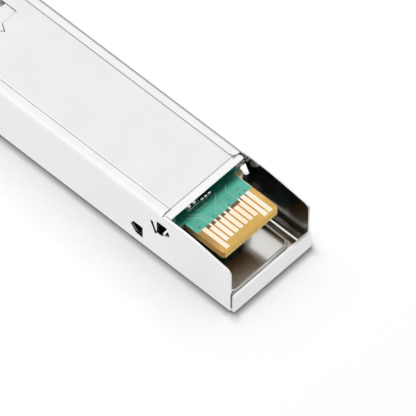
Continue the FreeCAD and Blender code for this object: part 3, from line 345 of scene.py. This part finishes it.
# the board: green mask over woven laminate, bare at the card edge and on the left border and ear
boardLook = {
    "lowerFace": 5.4, "faceSkin": 0.02, "tongueHalf": 4.6,
    "cloudScale": 0.55, "cloudDetail": 4.0, "cloudTurn": (0.3, 0.7),
    "weave": (9, 2.2, 4), "weaveScale": 1.0, "weaveDetail": 2.0,
    "weaveRough": 0.08, "weaveDepth": 1.2, "bump": 0.12,
    "maskPale": (94, 182, 162), "maskDeep": (78, 166, 146), "maskRough": 0.26,
    "maskPaintedShade": (26, 134, 112), "shadeTurn": (17.7, 19.5), "maskUnderPaintedShade": (30, 62, 50),
    "maskEnd": 20.7, "maskFade": 0.02, "maskWander": 0.12, "maskBorder": 0.09,
    "laminatePale": (218, 178, 98), "laminateDeep": (200, 156, 80), "laminateRough": 0.36,
    "cloudShare": 0.6, "weaveShare": 0.4, "laminateUnder": (244, 232, 212),
    "scorched": (170, 130, 74), "scorchAcross": (2.6, 4.4), "scorchAlong": (22.0, 24.6),
    "sideEdgePaintedShade": (196, 148, 78), "sideEdgePaintedStripShade": (104, 92, 62), "sideTurn": (19.4, 21.8), "sideHalf": 4.55,
    "endEdgeToneAndPaintedLight": (255, 214, 126), "endFrom": 24.85, "edgeRoll": 2.5, "edgeSheen": 0.6,
    "border": (206, 202, 144), "ear": (176, 166, 112), "earFrom": 17.85, "earHalf": 4.63,
    "earEndToneAndPaintedLight": (252, 246, 236), "earEndRightPaintedShade": (128, 84, 66),
    "betweenFingers": (198, 134, 26), "betweenNecksPaintedShade": (108, 80, 58),
    "fingerStart": 21.2, "fingerEnd": 23.8, "fingerHalfSpan": 3.85,
}


def boardFinish(name):
    look = boardLook
    material, wire = newFinish(name)
    place = placeInMm(wire)
    across, along, height = apart(wire, place)
    out = across.size()
    cloud = noise(wire, place, look["cloudScale"], look["cloudDetail"])
    weave = noise(wire, place, look["weaveScale"], look["weaveDetail"], look["weave"])
    under = height < look["lowerFace"] + look["faceSkin"]
    onFace = (height > boardTop - look["faceSkin"]) + under
    onEdge = 1 - onFace
    border = (out > look["tongueHalf"] - look["maskBorder"]) * (along > look["earFrom"])
    ragged = along + (cloud - noiseMiddle) * look["maskWander"]
    past = ragged.ramp(look["maskEnd"] - look["maskFade"], look["maskEnd"] + look["maskFade"])
    masked = onFace * (1 - past) * (1 - border * (across < 0))

    mask = cloud.ramp(*look["cloudTurn"]).mix(look["maskPale"], look["maskDeep"])
    mask = along.ramp(*look["shadeTurn"]).mix(look["maskPaintedShade"], mask)  # painted shade near the strip
    mask = (height > boardMiddle).mix(look["maskUnderPaintedShade"], mask)  # painted shade on the face underneath

    laminate = (cloud * look["cloudShare"] + weave * look["weaveShare"]).ramp(*look["cloudTurn"])
    laminate = laminate.mix(look["laminatePale"], look["laminateDeep"])
    scorch = across.ramp(*look["scorchAcross"]) * (1 - along.ramp(*look["scorchAlong"]))
    laminate = scorch.mix(laminate, look["scorched"])  # browner by the right corner
    laminate = under.mix(laminate, look["laminateUnder"])  # paler on the face underneath
    # painted shade on the side edges in the gap by the walls, darkest towards the strip
    side = along.ramp(*look["sideTurn"]).mix(look["sideEdgePaintedStripShade"], look["sideEdgePaintedShade"])
    laminate = ((out > look["sideHalf"]) * onEdge).mix(laminate, side)
    # the card edge's end face: its own gold, painted paler as painted light
    laminate = ((along > look["endFrom"]) * onEdge).mix(laminate, look["endEdgeToneAndPaintedLight"])
    laminate = (border * onFace * (along < look["maskEnd"])).mix(laminate, look["border"])
    ears = (out > look["earHalf"]) * (along > look["earFrom"])
    # the ears' end faces: painted light on the left, painted shade on the right
    earEndToneAndPaintedLight = (across > 0).mix(look["earEndToneAndPaintedLight"], look["earEndRightPaintedShade"])
    laminate = ears.mix(laminate, onFace.mix(earEndToneAndPaintedLight, look["ear"]))

    inFingers = (out < look["fingerHalfSpan"]) * onFace
    bare = (inFingers * (along < look["fingerEnd"])).mix(laminate, look["betweenFingers"])
    # painted shade between the necks
    bare = (inFingers * (along < look["fingerStart"])).mix(bare, look["betweenNecksPaintedShade"])
    rough = masked * (look["maskRough"] - look["laminateRough"]) + look["laminateRough"]
    rough = rough + (weave - noiseMiddle) * look["weaveRough"]
    rolled = leaning(wire, z=onEdge * look["edgeRoll"])  # the routed edges are broken, so they catch the sky
    return surface(material, wire, weave * (look["weaveDepth"] - masked), look["bump"], rolled,
                   Base_Color=masked.mix(bare, mask), Roughness=rough, Metallic=onEdge * look["edgeSheen"])


finishes = {name: metalFinish(name) for name in metalLooks}
finishes.update({name: plainFinish(name) for name in plainLooks})
finishes["board_green"] = boardFinish("board_green")
slotOf = {row["node"]: row["material_slot"] for row in frame["record"]["subparts"]}
for nodeName, nodeObject in frame["nodes"].items():
    for slot in nodeObject.material_slots:
        slot.material = finishes[slotOf[nodeName]]
print("finishes:", len(finishes))


def gridFaces(rows, columns):
    # quads between neighbouring rows of points; the columns close on themselves
    r, c = np.meshgrid(np.arange(rows - 1), np.arange(columns), indexing="ij")
    here, beside = r * columns + c, r * columns + (c + 1) % columns
    return np.stack([here, beside, beside + columns, here + columns], axis=-1).reshape(-1, 4)


weldDigits = 5  # corners that agree to this many decimals of a millimetre are one


def newPiece(name, parts, finish, body="module", smooth=False):
    # parts are (points in mm, quads); corners that meet are welded within a part, so poles and seams close
    corners, quads, start = [], [], 0
    for points, faces in parts:
        kept, place = np.unique(np.round(points, weldDigits), axis=0, return_inverse=True)
        corners.append(kept * mm)
        quads.append(place.reshape(-1)[faces] + start)
        start += len(kept)
    faces = [list(dict.fromkeys(quad)) for quad in np.concatenate(quads).tolist()]
    faces = [face for face in faces if len(face) > 2]
    mesh = bpy.data.meshes.new(name)
    mesh.from_pydata(np.concatenate(corners).tolist(), [], faces)
    mesh.validate()
    mesh.shade_smooth() if smooth else mesh.shade_flat()
    mesh.materials.append(finishes[finish])
    piece = bpy.data.objects.new(name, mesh)
    bpy.context.scene.collection.objects.link(piece)
    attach(piece, body)
    print("piece:", name, len(faces), "faces")
    return piece


rimLook = {"half": 4.95, "front": -14.0, "rear": 26.42, "corner": 1.05, "radius": 0.15, "height": 0.425,
           "cornerSteps": 12, "roundSteps": 12}


def rolledRim():
    # a round bead carried along a rounded rectangle: path + radius (cos u * outward + sin u * up)
    look = rimLook
    corner = np.linspace(0, np.pi / 2, look["cornerSteps"])
    outward, path = [], []
    for quarter, (x, y) in enumerate(((1, 1), (-1, 1), (-1, -1), (1, -1))):
        turn = corner + quarter * np.pi / 2
        middle = (x * (look["half"] - look["corner"]),
                  look["rear"] - look["corner"] if y > 0 else look["front"] + look["corner"])
        normal = np.stack([np.cos(turn), np.sin(turn)], axis=1)
        outward.append(normal)
        path.append(np.array(middle) + look["corner"] * normal)
    outward, path = np.concatenate(outward), np.concatenate(path)
    u = np.linspace(0, 2 * np.pi, look["roundSteps"], endpoint=False)
    flat = path[:, None, :] + look["radius"] * np.cos(u)[None, :, None] * outward[:, None, :]
    tall = np.broadcast_to(look["height"] + look["radius"] * np.sin(u), flat.shape[:2])
    points = np.concatenate([flat, tall[..., None]], axis=2).reshape(-1, 3)
    first = np.arange(len(u))
    last = first + (len(path) - 1) * len(u)
    seam = np.stack([last, np.roll(last, -1), np.roll(first, -1), first], axis=-1)
    return points, np.vstack([gridFaces(len(path), len(u)), seam])[:, ::-1]


newPiece("floor_rim", [rolledRim()], "shell_nickel", smooth=True)

foldLook = {"wall": -6.4, "floor": 0.3, "radius": 0.64, "front": 19.0, "rear": 27.75, "steps": 40}


def foldFillet():
    # a hollow quarter round: (wall + r (1 - sin t), floor + r (1 - cos t)), closed along the corner behind it
    look = foldLook
    t = np.linspace(0, np.pi / 2, look["steps"])
    across = np.append(look["wall"] + look["radius"] * (1 - np.sin(t)), look["wall"])
    tall = np.append(look["floor"] + look["radius"] * (1 - np.cos(t)), look["floor"])
    along = np.array([look["front"], look["rear"]])
    points = np.stack(np.broadcast_arrays(across[None, :], along[:, None], tall[None, :]), axis=-1)
    back = look["steps"]
    k = np.arange(back - 1)
    end = np.stack([np.full(back - 1, back), k, k + 1, k + 1], axis=1)  # fans about the corner close both ends
    faces = np.vstack([gridFaces(2, back + 1)[:, ::-1], end, end[:, ::-1] + back + 1])
    return points.reshape(-1, 3), faces


newPiece("left_fold", [foldFillet()], "shell_nickel")

# the outer folds end crisper than the sheet's bend: a sliver fills each bend out to a smaller radius
creaseLook = {"wall": 6.7, "bend": 0.6, "crisp": 0.28, "front": -19.25, "rear": 27.8,
              "lip": 28.25, "lipBack": 27.95, "lipBend": 0.5, "lipCrisp": 0.08, "lipHalf": 6.1,
              "lipEnd": 6.45, "steps": 16}


def quarterRound(corner, radius, bend):
    # from (corner - bend, 0) round an arc (corner - r + r sin t, r - r cos t) to (corner, bend)
    t = np.linspace(0, np.pi / 2, creaseLook["steps"])
    arc = np.stack([corner - radius + radius * np.sin(t), radius - radius * np.cos(t)], axis=1)
    return np.vstack([[corner - bend, 0.0], arc, [corner, bend]])


def sliver(outer, inner, start, end, flip):
    # the strip between two profiles with common ends, carried straight from start to end; (out, along, up)
    loop = np.vstack([outer, inner[::-1]])
    count, around = len(outer), len(loop)
    stations = np.array([start, end], float)
    points = np.stack(np.broadcast_arrays(loop[None, :, 0], stations[:, None], loop[None, :, 1]), axis=-1)
    k = np.arange(count - 1)
    cap = np.stack([k, k + 1, around - 2 - k, around - 1 - k], axis=1)
    faces = np.vstack([gridFaces(2, around), cap[:, ::-1], cap + around])
    return points.reshape(-1, 3), faces if flip else faces[:, ::-1]


def foldCreases():
    look = creaseLook
    made = []
    crisp = quarterRound(look["wall"], look["crisp"], look["bend"])
    bent = quarterRound(look["wall"], look["bend"], look["bend"])
    for side in (1, -1):
        points, faces = sliver(crisp, bent, look["front"], look["rear"], flip=side < 0)
        made.append((points * (side, 1, 1), faces))
    heel = quarterRound(look["lip"], look["lipCrisp"], look["lipBend"])
    heelBent = quarterRound(look["lip"], look["lipBend"], look["lipBend"])
    gauge = look["lip"] - look["lipBack"]
    plate = quarterRound(look["lip"], look["lipCrisp"], gauge)  # past the bend, as thick as the sheet
    plate[-1, 1] = look["lipBend"]
    back = np.linspace(0, 1, len(plate))[:, None]
    plateBack = np.hstack([look["lipBack"] + gauge * np.clip(2 * back - 1, 0, 1),
                           look["lipBend"] * np.clip(2 * back, 0, 1)])
    half, end = look["lipHalf"], look["lipEnd"]
    for outer, inner, start, stop in ((heel, heelBent, -half, half), (plate, plateBack, -end, -half),
                                      (plate, plateBack, half, end)):
        points, faces = sliver(outer, inner, start, stop, flip=True)
        made.append((points[:, [1, 0, 2]], faces))
    return made


newPiece("fold_creases", foldCreases(), "shell_nickel")

leafLook = {"front": -18.45, "bend": -17.55, "crest": -16.15, "tip": -15.95, "foot": 7.05, "rise": 0.72,
            "curl": 0.04, "gauge": 0.1, "half": 1.2, "tipHalf": 0.95, "bevel": 0.03, "rows": 48,
            "squareFront": 4, "squareTip": 8, "seat": 7.0, "keep": 0.22}


def springLeaf():
    # a bevelled strip carried along (y, foot + rise s s (3 - 2 s) - curl c c): s runs from the bend to the
    # crest and c from the crest to the tip; the strip narrows with s and stands across the path's own slope,
    # and its two ends are cut square
    look = leafLook
    along = np.linspace(look["front"], look["tip"], look["rows"])
    s = np.clip((along - look["bend"]) / (look["crest"] - look["bend"]), 0, 1)
    c = np.clip((along - look["crest"]) / (look["tip"] - look["crest"]), 0, 1)
    tall = look["foot"] + look["rise"] * s * s * (3 - 2 * s) - look["curl"] * c * c
    half = look["half"] + (look["tipHalf"] - look["half"]) * s * s
    slope = np.arctan(np.gradient(tall, along))
    slope = slope * np.clip((along - look["front"]) * look["squareFront"], 0, 1)
    slope = (slope * np.clip((look["tip"] - along) * look["squareTip"], 0, 1))[:, None]
    thick, bevel = look["gauge"] / 2, look["bevel"]
    right = np.stack([half - bevel, half, half, half - bevel], axis=1)
    outs = np.hstack([right, -right])
    up = np.array([-thick, bevel - thick, thick - bevel, thick])
    ups = np.append(up, up[::-1])
    along, tall = along[:, None] - ups * np.sin(slope), tall[:, None] + ups * np.cos(slope)
    points = np.stack([outs, along, tall], axis=-1)
    around = len(ups)
    first = np.arange(around)
    last = first + (look["rows"] - 1) * around
    caps = [ring[[-1 - a, -2 - a, a + 1, a]] for ring in (first, last[::-1]) for a in range(len(up) - 1)]
    faces = np.vstack([gridFaces(look["rows"], around), caps])
    return points.reshape(-1, 3), faces[:, ::-1]


leaf = newPiece("spring_leaf", [springLeaf()], "spring_steel")
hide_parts("latch_spring")
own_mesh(leaf)

ridgeLook = {"foot": 0.5, "crown": 0.36}  # half widths of a ridge, as shares of its width


def ridgeAlong(path, width, height, base):
    # a low trapezium carried along a flat path: at each point the profile stands across the mitre of its two
    # runs, so offset(u) = u / cos(half the turn), and the ends are closed by the profile itself
    path = np.array(path, float)
    runs = np.diff(path, axis=0)
    runs /= np.linalg.norm(runs, axis=1)[:, None]
    before = np.vstack([runs[:1], runs])
    after = np.vstack([runs, runs[-1:]])
    tangent = before + after
    tangent /= np.linalg.norm(tangent, axis=1)[:, None]
    side = np.stack([-tangent[:, 1], tangent[:, 0]], axis=1) / np.sum(tangent * after, axis=1)[:, None]
    foot, crown = ridgeLook["foot"], ridgeLook["crown"]
    offsets = np.array([-foot, -crown, crown, foot]) * width
    heights = np.array([0.0, height, height, 0.0])
    flat = path[:, None, :] + side[:, None, :] * offsets[None, :, None]
    tall = np.broadcast_to(base + heights, flat.shape[:2])
    points = np.concatenate([flat, tall[..., None]], axis=2).reshape(-1, 3)
    rows, around = flat.shape[:2]
    first = np.arange(around)
    ends = np.stack([first, first[::-1] + (rows - 1) * around])
    return points, np.vstack([gridFaces(rows, around)[:, ::-1], ends])


traceLook = {
    "width": 0.13, "height": 0.018,
    "paths": [
        [(-1.10, 18.13), (0.95, 20.15), (1.02, 20.68)],
        [(-0.50, 19.47), (0.15, 20.04), (0.22, 20.68)],
        [(-2.83, 18.04), (-2.05, 18.84), (-2.18, 20.68)],
        [(3.49, 17.98), (2.12, 19.35), (2.08, 20.30), (1.83, 20.68)],
        [(3.87, 18.24), (2.67, 19.43), (2.66, 20.48), (2.62, 20.68)],
        [(0.57, 18.43), (2.09, 18.43), (2.40, 18.10)],
        [(-0.60, 19.43), (-0.58, 20.68)],
    ],
}
newPiece("board_traces", [ridgeAlong(path, traceLook["width"], traceLook["height"], boardTop)
                          for path in traceLook["paths"]], "covered_copper")

viaLook = {
    "outer": 0.17, "inner": 0.085, "ringTop": 0.02, "holeRim": 0.012, "holeMiddle": 0.006, "steps": 20,
    "places": [(3.76, 20.25), (1.52, 20.28), (-0.50, 19.47), (-1.31, 19.78), (-1.67, 18.58), (-3.84, 18.78),
               (-3.23, 19.69), (-2.84, 20.36), (-3.65, 20.38), (-0.95, 20.45)],
}
ringProfile = [(viaLook["outer"], 0), (viaLook["outer"], viaLook["ringTop"]),
               (viaLook["inner"], viaLook["ringTop"]), (viaLook["inner"], 0)]
holeProfile = [(0, 0), (viaLook["inner"], 0), (viaLook["inner"], viaLook["holeRim"]),
               (0, viaLook["holeMiddle"])]


def turnedRing(centre, profile):
    # a closed profile of (radius, height), outside first, turned about a standing axis: (r cos t, r sin t, h)
    turn = np.linspace(0, 2 * np.pi, viaLook["steps"], endpoint=False)
    radius, height = np.array(profile + profile[:1], float).T[:, :, None]
    points = np.broadcast_arrays(centre[0] + radius * np.cos(turn), centre[1] + radius * np.sin(turn),
                                 boardTop + height)
    return np.stack(points, axis=-1).reshape(-1, 3), gridFaces(len(radius), len(turn))


# rings, and dark discs as painted shade inside the holes
for name, profile, finish in (("via_rings", ringProfile, "via_ring"), ("via_holes_painted_shade", holeProfile, "via_hole_painted_shade")):
    newPiece(name, [turnedRing(place, profile) for place in viaLook["places"]], finish)

legendLook = {
    "width": 0.09, "height": 0.012,
    "paths": [
        [(2.99, 17.00), (2.99, 17.72)],
        [(3.035, 17.72), (1.085, 17.72)],
        [(1.13, 17.72), (1.13, 17.00)],
    ],
}
newPiece("board_legend", [ridgeAlong(path, legendLook["width"], legendLook["height"], boardTop)
                          for path in legendLook["paths"]], "legend_white")

# tinned ends of the chip parts; a share is one end's part of the length
capLook = {
    "proud": 0.02, "edge": 0.17, "steps": 24, "roundSteps": 6, "squareness": 0.22, "shut": -9.0,
    "shares": {"pull_up_resistors": 0.24, "bypass_capacitors": 0.24, "ferrite_beads": 0.22,
               "supply_diode": 0.35},
}


def squared(wave):  # a wave of -1 to 1 raised to a small power, so that a ring of two becomes nearly square
    return np.sign(wave) * np.abs(wave) ** capLook["squareness"]


def endCaps(low, high, axis, share):
    # a ring (squared cos t, squared sin t) carried from the part's side over its edge to the middle of its
    # end face, at both ends of the long axis
    middle, half = (low + high) / 2, (high - low) / 2
    others = [k for k in range(3) if k != axis]
    turn = (np.arange(capLook["steps"]) + 0.5) * 2 * np.pi / capLook["steps"]
    ring = np.stack([squared(np.cos(turn)), squared(np.sin(turn))], axis=1)
    proud, edge, shut = capLook["proud"], capLook["edge"], capLook["shut"]
    reach = half[axis]
    start = reach * (1 - 2 * share)
    bend = np.linspace(0, np.pi / 2, capLook["roundSteps"])
    stations = np.hstack([start, start, reach + proud - edge * (1 - np.sin(bend)), reach + proud])
    swell = np.hstack([shut, proud, proud - edge * (1 - np.cos(bend)), shut])  # shut rows meet in the middle
    made = []
    for sign in (-1, 1):
        points = np.zeros((len(stations), len(turn), 3))
        for column, other in enumerate(others):
            wide = np.maximum(half[other] + swell[:, None], 0)
            points[..., other] = middle[other] + ring[None, :, column] * wide
        points[..., axis] = middle[axis] + sign * stations[:, None]
        faces = gridFaces(len(stations), len(turn))
        outward = sign * (1 if axis != 1 else -1)
        made.append((points.reshape(-1, 3), faces if outward > 0 else faces[:, ::-1]))
    return made


meetDigits = 4  # a solid's own corners agree to this many decimals of a millimetre


def looseBoxes(nodeName):
    # the boxes of a node's separate solids: corners joined by edges belong to one solid
    mesh = frame["nodes"][nodeName].data
    points = np.empty(len(mesh.vertices) * 3)
    mesh.vertices.foreach_get("co", points)
    edges = np.empty(len(mesh.edges) * 2, int)
    mesh.edges.foreach_get("vertices", edges)
    points = np.round(points.reshape(-1, 3) / mm, meetDigits)
    unique, label = np.unique(points, axis=0, return_inverse=True)
    pairs = label.reshape(-1)[edges.reshape(-1, 2)]
    island = np.arange(len(unique))
    while True:  # every corner takes the lowest number met along an edge
        lowest = island.copy()
        np.minimum.at(lowest, pairs[:, 0], island[pairs[:, 1]])
        np.minimum.at(lowest, pairs[:, 1], island[pairs[:, 0]])
        if np.array_equal(lowest, island):
            break
        island = lowest
    return [(unique[island == k].min(axis=0), unique[island == k].max(axis=0)) for k in np.unique(island)]


for nodeName, share in capLook["shares"].items():
    caps = []
    for low, high in looseBoxes(nodeName):
        longAxis = 1 if high[1] - low[1] > high[0] - low[0] else 0
        caps += endCaps(low, high, longAxis, share)
    newPiece(nodeName + "_ends", caps, "tinned_ends")

# floor: white paper that keeps the shadow, deeper where the object stands close; metal sees mostly its white
floorLook = {
    "half": 3.0, "drop": 0.00003, "white": (1.0, 1.0, 1.0, 1.0), "seenWhite": 0.97, "glow": 0.95,
    "greyBehind": 0.12, "behindTurn": (14.0, 30.0), "greyLeft": 0.45, "leftTurn": (8.0, 11.0),
    "litTurn": (6.0, 11.0), "openTurn": (45.0, 120.0), "nearSamples": 8,
    "closeReach": 0.00095, "closePower": 0.62, "wideReach": 0.010, "widePower": 0.66,
}


def rayKinds(wire):  # rays from the camera, from a gloss and through glass
    names = ("Is Camera Ray", "Is Glossy Ray", "Is Transmission Ray")
    return [wire.node("ShaderNodeLightPath", out=name) for name in names]


def openness(wire, reach, power):  # 1 in the open, less where something stands within reach
    near = wire.node("ShaderNodeAmbientOcclusion", {"samples": floorLook["nearSamples"]},
                     {"Distance": reach}, out="AO")
    return wire.sum("POWER", near, power)


def floorFinish():
    look = floorLook
    material, wire = newFinish("studio_floor")
    sight, mirrored, through = rayKinds(wire)
    place = placeInMm(wire)
    across, along = apart(wire, place, "XY")
    close = openness(wire, look["closeReach"], look["closePower"])
    wide = openness(wire, look["wideReach"], look["widePower"])
    lit = (-across).ramp(*look["litTurn"])  # the lamp's side has no wide shade
    matt = wire.node("ShaderNodeBsdfDiffuse", None, {"Color": close * (wide + (1 - wide) * lit)})
    behind = along.ramp(*look["behindTurn"]) * look["greyBehind"]
    left = (-across).ramp(*look["leftTurn"]) * look["greyLeft"]
    glow = wire.node("ShaderNodeEmission", None, {
        "Color": look["white"], "Strength": look["glow"] - wire.sum("MAXIMUM", behind, left)})
    share = wire.sum("MAXIMUM", mirrored, through) * look["seenWhite"]
    seen = wire.node("ShaderNodeMixShader", None, {0: share, 1: matt, 2: glow})
    away = wire.node("ShaderNodeVectorMath", {"operation": "LENGTH"}, {0: place}, out="Value")
    farOut = away.ramp(*look["openTurn"]) * sight  # plain white paper further out
    paper = wire.node("ShaderNodeEmission", None, {"Color": look["white"]})
    whole = wire.node("ShaderNodeMixShader", None, {0: farOut, 1: seen, 2: paper})
    wire.node("ShaderNodeOutputMaterial", None, {"Surface": whole})
    return material


half, drop = floorLook["half"], floorLook["drop"]
floorMesh = bpy.data.meshes.new("studio_floor")
floorMesh.from_pydata([(-half, -half, -drop), (half, -half, -drop), (half, half, -drop), (-half, half, -drop)],
                      [], [(0, 1, 2, 3)])
floorMesh.materials.append(floorFinish())
floorObject = bpy.data.objects.new("studio_floor", floorMesh)
bpy.context.scene.collection.objects.link(floorObject)
print("floor laid")

lightLook = {
    "ambient": 0.19, "horizon": 0.12, "horizonHeight": (0.0, 0.5), "horizonSide": (0.2, 0.7),
    "lampFrom": (-0.03, -0.15, 0.97), "lampWide": 0.16, "lampDeep": 0.36, "lampWatts": 8.12,
    "target": (0.0, 0.018, 0.004),
}


def studioWorld():
    look = lightLook
    world = bpy.data.worlds.new("studio")
    bpy.context.scene.world = world
    world.use_nodes = True
    world.node_tree.nodes.clear()
    wire = Wire(world.node_tree)
    sight, mirrored, through = rayKinds(wire)
    across, height = apart(wire, wire.node("ShaderNodeTexCoord", out=0), "XZ")  # the way that a ray goes
    edge = (1 - height.ramp(*look["horizonHeight"])) * (-across).ramp(*look["horizonSide"])
    room = 1 - edge * (1 - look["horizon"])  # a grey room edge on the left, seen by metal only
    direct = sight + through
    rest = (1 - direct - mirrored) * look["ambient"]
    strength = direct + mirrored * room + rest
    sky = wire.node("ShaderNodeBackground", None, {"Color": (1, 1, 1, 1), "Strength": strength})
    wire.node("ShaderNodeOutputWorld", None, {"Surface": sky})


studioWorld()
lamp = bpy.data.lights.new("key_softbox", "AREA")
lamp.shape = "RECTANGLE"
lamp.size, lamp.size_y = lightLook["lampWide"], lightLook["lampDeep"]
lamp.energy = lightLook["lampWatts"]
lampObject = bpy.data.objects.new("key_softbox", lamp)
lampObject.location = lightLook["lampFrom"]
aim = Vector(lightLook["target"]) - Vector(lightLook["lampFrom"])
lampObject.rotation_mode = "QUATERNION"
lampObject.rotation_quaternion = aim.to_track_quat("-Z", "Y")
lampObject.visible_glossy = False
bpy.context.scene.collection.objects.link(lampObject)
print("lights set")

cameraLook = {
    "right": (-0.68672, 0.72692, 0.00259), "up": (-0.58381, -0.55364, 0.59383),
    "back": (0.43310, 0.40628, 0.80458), "target": (0.000284, 0.018284, 0.004879),
    "distance": 1.0, "lens": 752.4, "sensor": 36.0, "clip": (0.05, 20.0),
}
camera = bpy.data.cameras.new("photo_camera")
camera.lens = cameraLook["lens"]
camera.sensor_width = cameraLook["sensor"]
camera.clip_start, camera.clip_end = cameraLook["clip"]
cameraObject = bpy.data.objects.new("photo_camera", camera)
turn = Matrix((cameraLook["right"], cameraLook["up"], cameraLook["back"])).transposed()
cameraObject.rotation_mode = "QUATERNION"
cameraObject.rotation_quaternion = turn.to_quaternion()
cameraObject.location = Vector(cameraLook["target"]) + Vector(cameraLook["back"]) * cameraLook["distance"]
bpy.context.scene.collection.objects.link(cameraObject)
bpy.context.scene.camera = cameraObject
bpy.context.scene.view_settings.view_transform = "Standard"
print("camera set")
